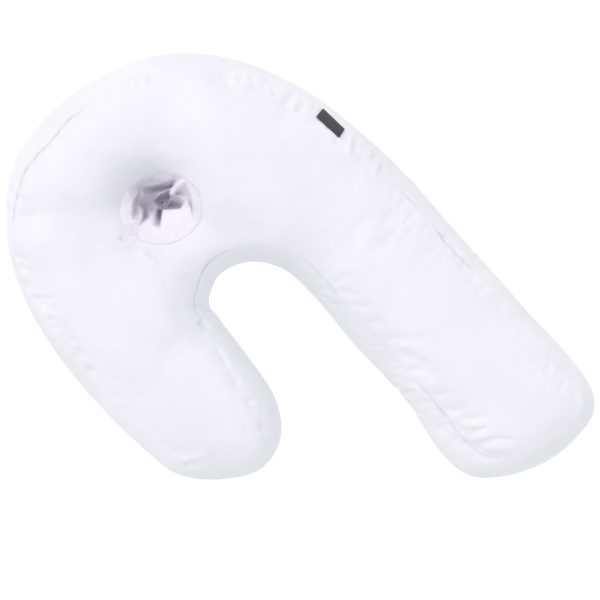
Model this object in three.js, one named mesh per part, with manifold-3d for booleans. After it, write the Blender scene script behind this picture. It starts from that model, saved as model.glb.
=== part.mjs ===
// A J-shaped side-sleeper body pillow, lying on its back.
//
// The case is boxed: a face panel and a back panel of one outline, with a side band sewn between
// them. The short leg, the head and the long leg are one filled solid. An ear well goes through
// the head, lined with a tube of the same cloth that the filling squeezes into folds.
//
// Millimetres, +Z up. The origin is on the surface that the pillow lies on, under the middle of
// its bounding box. The face looks up, +X runs across towards the long leg, and +Y towards the head.

import * as THREE from 'three';
import { mergeVertices } from 'three/addons/utils/BufferGeometryUtils.js';
import Module from 'manifold-3d';

const wasm = await Module();
wasm.setup();

// ---------------------------------------------------------------- driving dimensions

const BAND_WIDTH = 112; // side band, seam to seam, measured along the cloth
const LEG_THICK = 155; // thickness of a leg, before the floor presses it
const PRESSED = 8; // how much of the back panel's crown the pillow's weight presses flat
const SEAM_DRAW = 2.5; // how deep the stitching draws the two long seams in
const SEAM_DRAW_INSET = 15; // inset of a seam at which it is drawn in by all of SEAM_DRAW
const PIECE_GAP = 0.4; // clearance between two pieces that touch
const SLIGHTEST = 1; // least thickness of a section, next to the pillow's ends

// A strip that bows out by b over its width w brings its edges closer by (8/3) b² / w.
const BOW_DRAW = 8 / 3;
const WIDEST_INSET = 0.45; // most that a seam lies inside, as a share of the pillow's width there
const FULLEST_BAND = 0.97; // most that the band takes of the thickness; the crowns take the rest

const FACE_SPANS = 8; // facets across the face panel, and across the back panel
const BAND_SPANS = 6; // facets across the side band
const STATIONS = 90; // rings along the pillow
const SAME_POINT = 1e-4; // points closer than this are joined into one

// Sections from the end of the short leg, round the head, to the end of the long leg. "outer" and
// "inner" are the section's two ends in plan, on the widest line of the side band. "thick" is the
// thickness in the middle, before the floor presses the back panel. "outerInset" and "innerInset"
// are how far the two seams lie inside those ends.
const SECTIONS = [
  { outer: [-73, -254], inner: [-73, -254], thick: 0, outerInset: 0, innerInset: 0 },
  { outer: [-97, -257], inner: [-55, -248], thick: 36, outerInset: 20, innerInset: 20 },
  { outer: [-121, -257], inner: [-38, -234], thick: 68, outerInset: 32, innerInset: 30 },
  { outer: [-156, -248], inner: [-25, -203], thick: 115, outerInset: 30, innerInset: 28 },
  { outer: [-185, -224], inner: [-32, -161], thick: 148, outerInset: 20, innerInset: 20 },
  { outer: [-230, -181], inner: [-67, -108], thick: 155, outerInset: 17, innerInset: 17 },
  { outer: [-278, -127], inner: [-100, -64], thick: 157, outerInset: 15, innerInset: 16 },
  { outer: [-323, -56], inner: [-113, -43], thick: 164, outerInset: 10, innerInset: 15 },
  { outer: [-350, 28], inner: [-110, -33], thick: 174, outerInset: 7, innerInset: 15 },
  { outer: [-345, 118], inner: [-105, -19], thick: 178, outerInset: 18, innerInset: 16 },
  { outer: [-318, 162], inner: [-100, -11], thick: 180, outerInset: 28, innerInset: 16 },
  { outer: [-276, 204], inner: [-92, -5], thick: 180, outerInset: 26, innerInset: 17 },
  { outer: [-164, 253], inner: [-72, 4], thick: 178, outerInset: 22, innerInset: 18 },
  { outer: [-54, 238], inner: [-48, 5], thick: 171, outerInset: 18, innerInset: 20 },
  { outer: [41, 183], inner: [-18, -6], thick: 163, outerInset: 15, innerInset: 22 },
  { outer: [126, 106], inner: [12, -34], thick: 157, outerInset: 18, innerInset: 25 },
  { outer: [203, 22], inner: [62, -94], thick: 155, outerInset: 19, innerInset: 26 },
  { outer: [268, -51], inner: [127, -167], thick: 155, outerInset: 19, innerInset: 28 },
  { outer: [319, -108], inner: [171, -229], thick: 154, outerInset: 20, innerInset: 30 },
  { outer: [349, -149], inner: [203, -253], thick: 138, outerInset: 22, innerInset: 30 },
  { outer: [351, -178], inner: [250, -252], thick: 92, outerInset: 30, innerInset: 32 },
  { outer: [329, -208], inner: [295, -235], thick: 36, outerInset: 15, innerInset: 15 },
  { outer: [313, -223], inner: [313, -223], thick: 0, outerInset: 0, innerInset: 0 },
];

// The ear well: an oval mouth in the face, a narrow throat, and a like mouth in the back panel.
const EAR_WELL = {
  centre: [-163.5, 67],
  mouth: [50, 43], // half sizes of the oval mouth
  throat: 0.26, // throat size, as a share of the mouth
  throatAt: 0.42, // height of the throat, as a share of the way from the back to the face
  facing: 0.95, // share of the mouth's size at the back panel
  flare: 1.4, // how the well opens from its throat: 1 is a straight cone, more is a bell
};
const FACE_DIP = { depth: 32, reach: 150 }; // how far the face sinks towards the mouth
const BACK_DIP = { depth: 22, reach: 105 }; // how far the back panel rises towards its mouth

// Folds of the lining, one row each: where it stands round the well (degrees from +X), how wide it
// is, and how far it stands in as a share of the well's size there.
const LINING_FOLDS = [
  { at: 8, width: 16, depth: 0.2 },
  { at: 47, width: 15, depth: 0.26 },
  { at: 82, width: 17, depth: 0.15 },
  { at: 120, width: 15, depth: 0.24 },
  { at: 160, width: 17, depth: 0.2 },
  { at: 203, width: 15, depth: 0.26 },
  { at: 240, width: 16, depth: 0.16 },
  { at: 281, width: 15, depth: 0.24 },
  { at: 322, width: 17, depth: 0.21 },
];
const FOLD_FADE = 0.8; // share of a fold's depth that is gone at the mouth
const LINING_THICK = 1.5;
const LINING_AROUND = 54; // facets round the lining
const LINING_RINGS = 10; // facets down the lining

// The label lies on the outer shoulder. Its four corners in plan, in order round it.
const LABEL_CORNERS = [
  [24, 184],
  [49, 159],
  [42, 149],
  [17, 174],
];
const LABEL_THICK = 1;
const LABEL_CLEAR = 1.5; // clear of the face below it, measured straight up
const LABEL_FACETS = [10, 4]; // along it and across it

// ---------------------------------------------------------------- helpers

// A smooth curve through one column of a table. Asked by share of the table's length, from 0 to 1.
function column(rows, read) {
  const points = rows.map((row) => new THREE.Vector3(...read(row)));
  const curve = new THREE.CatmullRomCurve3(points);
  return (share) => curve.getPoint(share);
}

// A closed mesh from rings of points, each ring joined to the next, with a fan at each end.
function loft(rings, startPoint, endPoint) {
  const around = rings[0].length;
  const positions = rings.flat();
  const triangles = [];
  for (let ring = 0; ring < rings.length - 1; ring += 1) {
    for (let k = 0; k < around; k += 1) {
      const a = ring * around + k;
      const b = ring * around + ((k + 1) % around);
      triangles.push([a, b, b + around], [a, b + around, a + around]);
    }
  }
  const start = positions.push(startPoint) - 1;
  const end = positions.push(endPoint) - 1;
  const last = (rings.length - 1) * around;
  for (let k = 0; k < around; k += 1) {
    const next = (k + 1) % around;
    triangles.push([start, next, k], [end, last + k, last + next]);
  }
  return meshOf(positions, triangles);
}

function meshOf(positions, triangles) {
  const geometry = new THREE.BufferGeometry();
  geometry.setAttribute('position', new THREE.Float32BufferAttribute(positions.flat(), 3));
  geometry.setIndex(triangles.flat());
  return mergeVertices(geometry, SAME_POINT);
}

function toSolid(geometry) {
  return new wasm.Manifold(
    new wasm.Mesh({
      numProp: 3,
      vertProperties: Float32Array.from(geometry.attributes.position.array),
      triVerts: Uint32Array.from(geometry.index.array),
    }),
  );
}

function toGeometry(solid) {
  const mesh = solid.getMesh();
  const geometry = new THREE.BufferGeometry();
  geometry.setAttribute('position', new THREE.BufferAttribute(mesh.vertProperties, 3));
  geometry.setIndex(new THREE.BufferAttribute(mesh.triVerts, 1));
  return geometry;
}

function named(name, geometry, colour, roughness) {
  const flat = geometry.toNonIndexed();
  flat.computeVertexNormals();
  const material = new THREE.MeshStandardMaterial({ color: colour, roughness, metalness: 0 });
  const mesh = new THREE.Mesh(flat, material);
  mesh.name = name;
  return mesh;
}

// ---------------------------------------------------------------- the filled case

const outerEdge = column(SECTIONS, (row) => [...row.outer, 0]);
const innerEdge = column(SECTIONS, (row) => [...row.inner, 0]);
const middle = column(SECTIONS, (row) => [row.thick, row.outerInset, row.innerInset]);

// How far a dip has sunk a point at (x, y).
function dipAt(dip, x, y) {
  const away = Math.hypot(x - EAR_WELL.centre[0], y - EAR_WELL.centre[1]) / dip.reach;
  return dip.depth * Math.max(0, 1 - away ** 2) ** 2;
}

// One ring round the pillow: across the face from the outer seam to the inner one, down the inner
// side of the band, back across the back panel, and up the outer side.
function sectionRing(share) {
  const outer = outerEdge(share);
  const inner = innerEdge(share);
  const width = outer.distanceTo(inner);
  const across = inner.clone().sub(outer).divideScalar(width);
  const thick = Math.max(middle(share).x, SLIGHTEST);
  const outerInset = Math.min(middle(share).y, width * WIDEST_INSET);
  const innerInset = Math.min(middle(share).z, width * WIDEST_INSET);

  // The band bows out between its seams, so they lie closer together than its width.
  const bow = (outerInset + innerInset) / 2;
  const bowed = BAND_WIDTH - (BOW_DRAW * bow ** 2) / BAND_WIDTH;
  const bandRise = Math.min(bowed, thick * FULLEST_BAND);
  const crownRise = (thick - bandRise) / 2;
  const midHeight = Math.max(thick, LEG_THICK) / 2 - PRESSED;
  const backSeam = midHeight - bandRise / 2;
  const seamDraw = SEAM_DRAW * Math.min(1, bow / SEAM_DRAW_INSET);

  const ring = [];
  const add = (along, z) => {
    ring.push([outer.x + across.x * along, outer.y + across.y * along, z]);
  };
  const panel = width - outerInset - innerInset;
  const crown = (u) => crownRise * (1 - u ** 2);

  for (let k = 0; k < FACE_SPANS; k += 1) {
    const u = (2 * k) / FACE_SPANS - 1;
    add(outerInset + seamDraw * (k === 0) + (panel * (u + 1)) / 2, backSeam + bandRise + crown(u));
  }
  for (let k = 0; k < BAND_SPANS; k += 1) {
    const v = (2 * k) / BAND_SPANS - 1;
    const bulge = innerInset * (1 - v ** 2) - seamDraw * (k === 0);
    add(width - innerInset + bulge, backSeam + (bandRise * (1 - v)) / 2);
  }
  for (let k = 0; k < FACE_SPANS; k += 1) {
    const u = 1 - (2 * k) / FACE_SPANS;
    add(outerInset - seamDraw * (k === 0) + (panel * (u + 1)) / 2, backSeam - crown(u));
  }
  for (let k = 0; k < BAND_SPANS; k += 1) {
    const v = (2 * k) / BAND_SPANS - 1;
    const bulge = outerInset * (1 - v ** 2) - seamDraw * (k === 0);
    add(outerInset - bulge, backSeam + (bandRise * (1 + v)) / 2);
  }

  // The face sinks towards the ear well, the back rises, and the floor stops what would hang lower.
  return ring.map(([x, y, z]) => {
    const rise = z / (midHeight + thick / 2);
    const sunk = z - dipAt(FACE_DIP, x, y) * rise ** 2;
    return [x, y, Math.max(sunk, 0) + dipAt(BACK_DIP, x, y) * (1 - rise) ** 2];
  });
}

function filledCase() {
  const rings = [];
  for (let station = 1; station < STATIONS; station += 1) {
    rings.push(sectionRing(station / STATIONS));
  }
  const tip = (edge) => [edge.x, edge.y, LEG_THICK / 2 - PRESSED];
  return loft(rings, tip(outerEdge(0)), tip(outerEdge(1)));
}

// ---------------------------------------------------------------- the ear well and its lining

// The turn from one bearing to another, in degrees, from -180 to 180.
function turnBetween(from, to) {
  return THREE.MathUtils.euclideanModulo(to - from + 180, 360) - 180;
}

// The well's radius at an angle and a height share, with "grow" added all round it.
function wellRadius(angle, share, grow) {
  const [a, b] = EAR_WELL.mouth;
  const oval = (a * b) / Math.hypot(b * Math.cos(angle), a * Math.sin(angle));
  const side = share > EAR_WELL.throatAt ? 1 - EAR_WELL.throatAt : EAR_WELL.throatAt;
  const fromThroat = Math.abs(share - EAR_WELL.throatAt) / side;
  const mouth = share > EAR_WELL.throatAt ? 1 : EAR_WELL.facing;
  const flare = EAR_WELL.throat + (mouth - EAR_WELL.throat) * fromThroat ** EAR_WELL.flare;

  let folded = 1;
  for (const fold of LINING_FOLDS) {
    const off = turnBetween(fold.at, THREE.MathUtils.radToDeg(angle));
    folded -= fold.depth * (1 - FOLD_FADE * fromThroat) * Math.exp(-((off / fold.width) ** 2));
  }
  return oval * flare * folded + grow;
}

// A tube of rings down the well. "floorAt" and "faceAt" give its two ends' heights at an angle.
function wellRings(grow, floorAt, faceAt) {
  const rings = [];
  for (let row = 0; row <= LINING_RINGS; row += 1) {
    const share = row / LINING_RINGS;
    const ring = [];
    for (let k = 0; k < LINING_AROUND; k += 1) {
      const angle = (2 * Math.PI * k) / LINING_AROUND;
      const radius = wellRadius(angle, share, grow);
      ring.push([
        EAR_WELL.centre[0] + radius * Math.cos(angle),
        EAR_WELL.centre[1] + radius * Math.sin(angle),
        floorAt(angle) + (faceAt(angle) - floorAt(angle)) * share,
      ]);
    }
    rings.push(ring);
  }
  return rings;
}

// Reads the height of a solid's face, or of its back, at a point in plan.
function heightReader(geometry, side) {
  const probe = new THREE.Mesh(geometry, new THREE.MeshBasicMaterial({ side: THREE.DoubleSide }));
  const caster = new THREE.Raycaster();
  const away = side === 'face' ? 1 : -1;
  return (x, y) => {
    caster.set(new THREE.Vector3(x, y, away * 2 * LEG_THICK), new THREE.Vector3(0, 0, -away));
    return caster.intersectObject(probe)[0].point.z;
  };
}

// Reads the height of the rim of the well's mouth at an angle round it.
function rimReader(heightAt, share) {
  return (angle) => {
    const radius = wellRadius(angle, share, 0);
    return heightAt(
      EAR_WELL.centre[0] + radius * Math.cos(angle),
      EAR_WELL.centre[1] + radius * Math.sin(angle),
    );
  };
}

// The solid that the well takes out of the filled case, running out past both of its mouths.
function wellCutter(backRim, faceRim) {
  const rings = wellRings(0, backRim, faceRim);
  const beyond = (ring, z) => ring.map(([x, y]) => [x, y, z]);
  rings.unshift(beyond(rings[0], -BAND_WIDTH));
  rings.push(beyond(rings.at(-1), 2 * BAND_WIDTH));
  const [x, y] = EAR_WELL.centre;
  return loft(rings, [x, y, -BAND_WIDTH], [x, y, 2 * BAND_WIDTH]);
}

// The lining: a tube with a wall, from a hair inside the back rim to a hair inside the face rim.
function lining(backRim, faceRim) {
  const floorAt = (angle) => backRim(angle) + PIECE_GAP;
  const faceAt = (angle) => faceRim(angle) - PIECE_GAP;
  const outside = wellRings(-PIECE_GAP, floorAt, faceAt);
  const inside = wellRings(-PIECE_GAP - LINING_THICK, floorAt, faceAt).reverse();
  const rings = [...outside, ...inside];
  const around = LINING_AROUND;
  const triangles = [];
  for (let ring = 0; ring < rings.length; ring += 1) {
    const above = (ring + 1) % rings.length;
    for (let k = 0; k < around; k += 1) {
      const next = (k + 1) % around;
      const [a, b] = [ring * around + k, ring * around + next];
      const [c, d] = [above * around + next, above * around + k];
      triangles.push([a, b, c], [a, c, d]);
    }
  }
  return meshOf(rings.flat(), triangles);
}

// ---------------------------------------------------------------- the label

// A thin blank tab that follows the face under it.
function labelTab(faceAt) {
  const [along, across] = LABEL_FACETS;
  const corners = LABEL_CORNERS.map(([x, y]) => new THREE.Vector2(x, y));
  const top = [];
  const under = [];
  for (let i = 0; i <= along; i += 1) {
    const outerSide = corners[0].clone().lerp(corners[1], i / along);
    const innerSide = corners[3].clone().lerp(corners[2], i / along);
    for (let j = 0; j <= across; j += 1) {
      const { x, y } = outerSide.clone().lerp(innerSide, j / across);
      under.push([x, y, faceAt(x, y) + LABEL_CLEAR]);
      top.push([x, y, faceAt(x, y) + LABEL_CLEAR + LABEL_THICK]);
    }
  }

  const row = across + 1;
  const below = top.length;
  const triangles = [];
  for (let i = 0; i < along; i += 1) {
    for (let j = 0; j < across; j += 1) {
      const a = i * row + j;
      const b = a + row + 1;
      triangles.push([a, a + 1, b], [a, b, a + row]);
      triangles.push([below + b, below + a + 1, below + a], [below + b, below + a, below + a + row]);
    }
  }
  const border = [];
  for (let i = 0; i < along; i += 1) border.push(i * row);
  for (let j = 0; j < across; j += 1) border.push(along * row + j);
  for (let i = along; i > 0; i -= 1) border.push(i * row + across);
  for (let j = across; j > 0; j -= 1) border.push(j);
  border.forEach((a, k) => {
    const b = border[(k + 1) % border.length];
    triangles.push([a, b, below + b], [a, below + b, below + a]);
  });
  return meshOf([...top, ...under], triangles);
}

// ---------------------------------------------------------------- the pillow

const uncut = filledCase();
const faceAt = heightReader(uncut, 'face');
const backAt = heightReader(uncut, 'back');
const backRim = rimReader(backAt, 0);
const faceRim = rimReader(faceAt, 1);
const caseSolid = toSolid(uncut).subtract(toSolid(wellCutter(backRim, faceRim)));

const pillow = new THREE.Group();
pillow.add(named('pillow', toGeometry(caseSolid), 0xf1f1f6, 0.85));
pillow.add(named('ear_well_lining', lining(backRim, faceRim), 0xe2e0ea, 0.85));
pillow.add(named('label', labelTab(faceAt), 0x3b3b40, 0.8));

export default pillow;
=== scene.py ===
# %% [markdown]
# # A side-sleeper body pillow
#
# This lesson builds a J-shaped body pillow that lies on its back: a boxed case of white percale,
# stuffed with fibre, with an ear well through the head. The case is cut as a face panel, a side
# band and a back panel, so it is modelled the same way here: the panels are drawn flat, meshed,
# joined at their seams, filled out, and settled with a short cloth simulation.
#
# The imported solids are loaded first, as a fixed frame. They give every piece its place.

# %% Load the frame
import math

import bpy
import numpy as np
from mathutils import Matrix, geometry, noise
from mathutils.bvhtree import BVHTree


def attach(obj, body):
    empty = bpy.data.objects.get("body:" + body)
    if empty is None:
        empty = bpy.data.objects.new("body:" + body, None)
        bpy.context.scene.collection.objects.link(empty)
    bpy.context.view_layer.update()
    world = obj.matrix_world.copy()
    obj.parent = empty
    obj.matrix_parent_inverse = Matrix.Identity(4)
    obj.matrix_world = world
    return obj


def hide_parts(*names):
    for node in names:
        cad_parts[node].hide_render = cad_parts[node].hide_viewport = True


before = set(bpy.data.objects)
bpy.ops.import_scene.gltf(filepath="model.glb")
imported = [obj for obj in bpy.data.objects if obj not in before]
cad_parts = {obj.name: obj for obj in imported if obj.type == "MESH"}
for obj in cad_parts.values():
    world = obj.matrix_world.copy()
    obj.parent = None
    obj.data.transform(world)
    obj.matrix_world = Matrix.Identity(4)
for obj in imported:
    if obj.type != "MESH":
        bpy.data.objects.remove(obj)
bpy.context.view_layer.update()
MM = 0.001
print("nodes:", sorted(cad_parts))

# %% [markdown]
# ## The outline
#
# A pillow like this has no straight edge to measure from, so its outline is kept as a table of
# sections across it: from the end of the short leg, round the head, to the end of the long leg.
# Sizes are in millimetres. "outer" and "inner" are the two ends of a section on the widest line of
# the side band, "thick" is the filled thickness there, and the two insets are how far the seams
# lie inside the widest line. A smooth curve runs through each column.

# %% The section table
BAND_WIDTH = 112.0  # the side band, seam to seam, along the cloth
LEG_THICK = 155.0
HEAD_THICK = 175.0  # from here on the crown rises as slowly as it does in the head
PRESSED = 8.0  # how much of the back panel's crown is pressed flat on the floor

SECTIONS = [
    # outer, inner, thick, outer inset, inner inset
    ((-73, -254), (-73, -254), LEG_THICK, 28, 28),
    ((-97, -257), (-55, -248), LEG_THICK, 28, 28),
    ((-121, -257), (-38, -234), LEG_THICK, 27, 25),
    ((-156, -248), (-25, -203), LEG_THICK, 24, 22),
    ((-185, -224), (-32, -161), LEG_THICK, 20, 20),
    ((-230, -181), (-67, -108), LEG_THICK, 17, 17),
    ((-278, -127), (-100, -64), 157, 15, 16),
    ((-323, -56), (-113, -43), 164, 10, 15),
    ((-350, 28), (-110, -33), 174, 7, 15),
    ((-345, 118), (-105, -19), 178, 18, 16),
    ((-318, 162), (-100, -11), 180, 28, 16),
    ((-276, 204), (-92, -5), 180, 26, 17),
    ((-164, 253), (-72, 4), 178, 22, 18),
    ((-54, 238), (-48, 5), 171, 18, 20),
    ((41, 183), (-18, -6), 163, 15, 22),
    ((126, 106), (12, -34), 157, 18, 25),
    ((203, 22), (62, -94), LEG_THICK, 19, 26),
    ((268, -51), (127, -167), LEG_THICK, 19, 28),
    ((319, -108), (171, -229), LEG_THICK, 20, 30),
    ((349, -149), (203, -253), LEG_THICK, 22, 28),
    ((351, -178), (250, -252), LEG_THICK, 24, 26),
    ((329, -208), (295, -235), LEG_THICK, 24, 24),
    ((313, -223), (313, -223), LEG_THICK, 24, 24),
]


def curve_through(rows, count):
    """Samples a centripetal Catmull-Rom curve through the rows, evenly by row."""
    p = np.asarray(rows, float)
    p = np.vstack([2 * p[0] - p[1], p, 2 * p[-1] - p[-2]])
    at = np.linspace(0, len(rows) - 1, count)
    i = np.minimum(at.astype(int), len(rows) - 2)
    t = (at - i)[:, None]
    p0, p1, p2, p3 = (p[i + k] for k in range(4))
    gap = [np.sqrt(np.linalg.norm(b - a, axis=1))[:, None] for a, b in ((p0, p1), (p1, p2), (p2, p3))]
    d0, d1, d2 = (np.where(g < 1e-4, np.maximum(gap[1], 1.0), g) for g in gap)
    leave = ((p1 - p0) / d0 - (p2 - p0) / (d0 + d1) + (p2 - p1) / d1) * d1
    reach = ((p2 - p1) / d1 - (p3 - p1) / (d1 + d2) + (p3 - p2) / d2) * d1
    bend = 3 * (p2 - p1) - 2 * leave - reach
    turn = -2 * (p2 - p1) + leave + reach
    return p1 + t * (leave + t * (bend + t * turn))


# %% [markdown]
# The two sides join into one closed outline. It is resampled so that its points are evenly
# spaced, because the panels are meshed from it and even triangles crease most like cloth.

# %% The closed outline
SEAM_STEP = 2.3  # spacing of the points along the seams
SIDE_SAMPLES = 3000  # points along each side before they are spaced evenly
OUTLINE_ROUNDS = 12  # how often a point is averaged with its neighbours: the outline,
NORMAL_ROUNDS = 6  # its outward directions,
COLUMN_ROUNDS = 40  # and the thickness and inset along it


def column_along(column):
    """One of the table's plain columns, sampled evenly by row."""
    at = np.linspace(0, len(SECTIONS) - 1, SIDE_SAMPLES)
    return np.interp(at, range(len(SECTIONS)), [row[column] for row in SECTIONS])


sides = []
for plan_column, inset_column in ((0, 3), (1, 4)):
    plan = curve_through([row[plan_column] for row in SECTIONS], SIDE_SAMPLES)
    sides.append(np.column_stack([plan, column_along(2), column_along(inset_column)]))
loop = np.vstack([sides[0], sides[1][-2:0:-1]])


def smooth_loop(values, rounds):
    """Averages each value of a closed loop with its neighbours, a number of times."""
    for _ in range(rounds):
        values = (np.roll(values, 1, 0) + 2 * values + np.roll(values, -1, 0)) / 4
    return values


def resample_loop(values, step):
    """Spaces the points of a closed loop evenly. The first two columns are x and y."""
    closed = np.vstack([values, values[:1]])
    run = np.append(0, np.cumsum(np.linalg.norm(np.diff(closed[:, :2], axis=0), axis=1)))
    count = round(run[-1] / step)
    at = np.arange(count) * run[-1] / count
    return np.column_stack([np.interp(at, run, c) for c in closed.T])


outline = smooth_loop(resample_loop(loop, SEAM_STEP), OUTLINE_ROUNDS)
ahead = np.roll(outline[:, :2], -1, 0) - np.roll(outline[:, :2], 1, 0)
ahead /= np.linalg.norm(ahead, axis=1)[:, None]
# The loop runs clockwise seen from above, so its left side is the outside.
normal = smooth_loop(np.column_stack([-ahead[:, 1], ahead[:, 0]]), NORMAL_ROUNDS)
normal /= np.linalg.norm(normal, axis=1)[:, None]
widest = outline[:, :2]
thick = smooth_loop(outline[:, 2], COLUMN_ROUNDS)
inset = smooth_loop(outline[:, 3], COLUMN_ROUNDS)
RING = len(outline)
print("outline points:", RING, "perimeter mm:", round(RING * SEAM_STEP))

# %% [markdown]
# ## The pattern pieces
#
# A boxed pillow is cut from flat cloth: two panels of one outline and a long strip between them.
# Each vertex gets two places. Its flat place is where it is in the cut pattern, with the panels
# laid one above the other and the strip standing between them. Its filled place is where the
# stuffing pushes it. The cloth simulation takes its thread lengths from the first and starts from
# the second, so the spare cloth along the curved seams gathers into puckers, as on the real case.
#
# The seam line lies inside the widest line, and the flat panel is a little larger than the filled
# one, because its crown takes up cloth.

# %% Seam lines, filled and flat
CROWN_TAKE_UP = 5.0  # how far the crown draws a panel's edge in

seam_plan = widest - normal * inset[:, None]
flat_plan = widest - normal * (inset - CROWN_TAKE_UP)[:, None]
# A band that bows out by its inset is longer than the gap between its seams by 8/3 of
# inset squared over width, so the seams come that much closer.
seam_rise = BAND_WIDTH - (8 / 3) * inset**2 / BAND_WIDTH
mid_height = thick / 2 - PRESSED
crown_rise = (thick - seam_rise) / 2
print("seams lie", round(float(seam_rise.mean())), "mm apart once filled")


def nearest_on(points, line, lot=2000):
    """For each point, the index of the nearest point of a line and how far it is."""
    index, away = [], []
    for start in range(0, len(points), lot):
        gap = np.linalg.norm(points[start : start + lot, None] - line[None], axis=2)
        index.append(gap.argmin(1))
        away.append(gap.min(1))
    return np.concatenate(index), np.concatenate(away)


def away_in(points, centre, reach):
    """Distance of each point from a centre, seen from above, as a share of a reach."""
    return np.linalg.norm(points[:, :2] - centre, axis=1) / reach


def inside(points, loop_points):
    """Says which points lie inside a closed loop, by counting the sides they look across."""
    a, b = loop_points, np.roll(loop_points, -1, 0)
    odd = np.zeros(len(points), bool)
    for (ax, ay), (bx, by) in zip(a, b):
        if ay != by:
            crosses = (ay > points[:, 1]) != (by > points[:, 1])
            odd ^= crosses & (points[:, 0] < ax + (points[:, 1] - ay) * (bx - ax) / (by - ay))
    return odd


# %% The ear well's mouth
WELL_CENTRE = np.array([-163.5, 67.0])
WELL_MOUTH = np.array([50.0, 43.0])  # half of its length and half of its width
WELL_AROUND = 120  # points round it


def well_oval(scale=1.0):
    """The mouth's oval, or a smaller one inside it."""
    turn = np.arange(WELL_AROUND) * 2 * math.pi / WELL_AROUND
    return WELL_CENTRE + scale * WELL_MOUTH * np.column_stack([np.cos(turn), np.sin(turn)])


def well_share(points):
    """Distance from the well's centre, as a share of its mouth."""
    return np.linalg.norm((points[:, :2] - WELL_CENTRE) / WELL_MOUTH, axis=1)


# %% [markdown]
# Each panel is meshed as an even triangle net inside its outline. Triangles have no grain of their
# own, so creases can run in any direction. The net is fine near the seams and round the well,
# where the cloth puckers, and coarser where it is smooth.

# %% Mesh a panel
FINE_REACH = 30.0  # how far from a seam the fine net goes
COARSE_STEP = 4.6
EDGE_GAP = 0.7  # how near the fine net comes to an edge, in steps
CROWD_GAP = 0.5  # how near a coarse point comes to a fine one, in steps
JOIN_GAP = 1e-5  # points nearer than this are one point


def triangle_net(step):
    """Points of an even triangle net over the whole pillow."""
    low, high = flat_plan.min(0), flat_plan.max(0)
    rows = np.arange(low[1], high[1], step * math.sqrt(3) / 2)
    columns = np.arange(low[0], high[0], step)
    net = []
    for k, y in enumerate(rows):
        net.append(np.column_stack([columns + (k % 2) * step / 2, np.full(len(columns), y)]))
    return np.vstack(net)


def panel_net(fine_step):
    """Meshes a panel inside its flat outline and outside the well's mouth."""
    mouth = well_oval()
    points = np.vstack([flat_plan, mouth])
    for step, near in ((fine_step, True), (COARSE_STEP, False)):
        net = triangle_net(step)
        net = net[inside(net, flat_plan)]
        away = nearest_on(net, flat_plan)[1]
        round_well = (well_share(net) - 1) * WELL_MOUTH.min()
        reach = np.minimum(away, round_well)
        net = net[(reach > EDGE_GAP * fine_step) & ((reach < FINE_REACH) == near)]
        if not near:
            # A coarse point that crowds a fine one would leave a pimple in the cloth.
            net = net[nearest_on(net, points)[1] > CROWD_GAP * step]
        points = np.vstack([points, net])
    edges = [(i, (i + 1) % RING) for i in range(RING)]
    edges += [(RING + i, RING + (i + 1) % WELL_AROUND) for i in range(WELL_AROUND)]
    found = geometry.delaunay_2d_cdt([tuple(p) for p in points], edges, [], 0, JOIN_GAP)
    tri = np.array([f for f in found[2]])
    centre = points[tri].mean(1)
    tri = tri[inside(centre, flat_plan) & (well_share(centre) > 1)]
    side = np.cross(points[tri[:, 1]] - points[tri[:, 0]], points[tri[:, 2]] - points[tri[:, 0]])
    tri[side < 0] = tri[side < 0][:, ::-1]
    return points, tri


# %% Mesh both panels
BACK_STEP = 4.0  # the back panel is only seen from behind, so its net is coarser

face_flat, face_tri = panel_net(SEAM_STEP)
back_flat, back_tri = panel_net(BACK_STEP)
print("face triangles:", len(face_tri), "back triangles:", len(back_tri))

# %% [markdown]
# The filled place of a panel's point follows its distance from the nearest seam: the panel rises
# in a rounded crown, and its edge is drawn in. The crown levels out soon on a leg, and later in
# the head and at the two feet, where the stuffing has more cloth to round off.
#
# Three things draw the panels in again. Round the ear well the face sinks and the back rises,
# because the lining ties the two together. The lining is also sewn in a little askew, so it pulls
# one side of the rim much harder. And in the crook, where the legs part, the inner seam is the
# shortest line of all, so the face dips there.

# %% What draws the panels in
# (depth, how far out it reaches, its centre)
FACE_DIP = (32.0, 150.0, WELL_CENTRE)
BACK_DIP = (22.0, 105.0, WELL_CENTRE)
CROOK_DIP = (19.0, 66.0, (-103, -42))
# (depth where it is hardest, least share of it, reach, bearing of the hardest pull in degrees)
RIM_PULL = (40.0, 0.1, 23.0, 137.0)
RIM_PULL_NARROW = 1.6  # above 1, the hard pull keeps to a shorter stretch of the rim
RIM_PULL_FADE = 1.1  # how sharply it ends at its reach


def dip_at(dip, points):
    """How far a dip lowers each point."""
    depth, reach, centre = dip
    return depth * np.maximum(0, 1 - away_in(points, centre, reach) ** 2) ** 2


def rim_pull_at(points):
    """How far the lining pulls a point of the face down."""
    depth, least, reach, bearing = RIM_PULL
    arm = points[:, :2] - WELL_CENTRE
    turn = np.arctan2(arm[:, 1], arm[:, 0]) - math.radians(bearing)
    hard = least + (1 - least) * (0.5 + 0.5 * np.cos(turn)) ** RIM_PULL_NARROW
    gap = np.maximum(0, well_share(points) - 1) * WELL_MOUTH.mean()
    return depth * hard * np.exp(-((gap / reach) ** RIM_PULL_FADE))


# %% Fill the panels
CROWN_REACH = (58.0, 100.0)  # how far from a seam the crown levels out: on a leg, in the head
CROWN_ROUND = 2.1  # 2 is a round crown, and more makes its edge steeper
CROWN_ROUNDS = 150  # smoothing, so that the crown has no ridge along its middle
FOOT_ROUND = 26.0  # how much later it levels out at the feet
FEET = [(290, -200, 90), (-95, -225, 60)]  # (x, y, reach)


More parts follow.
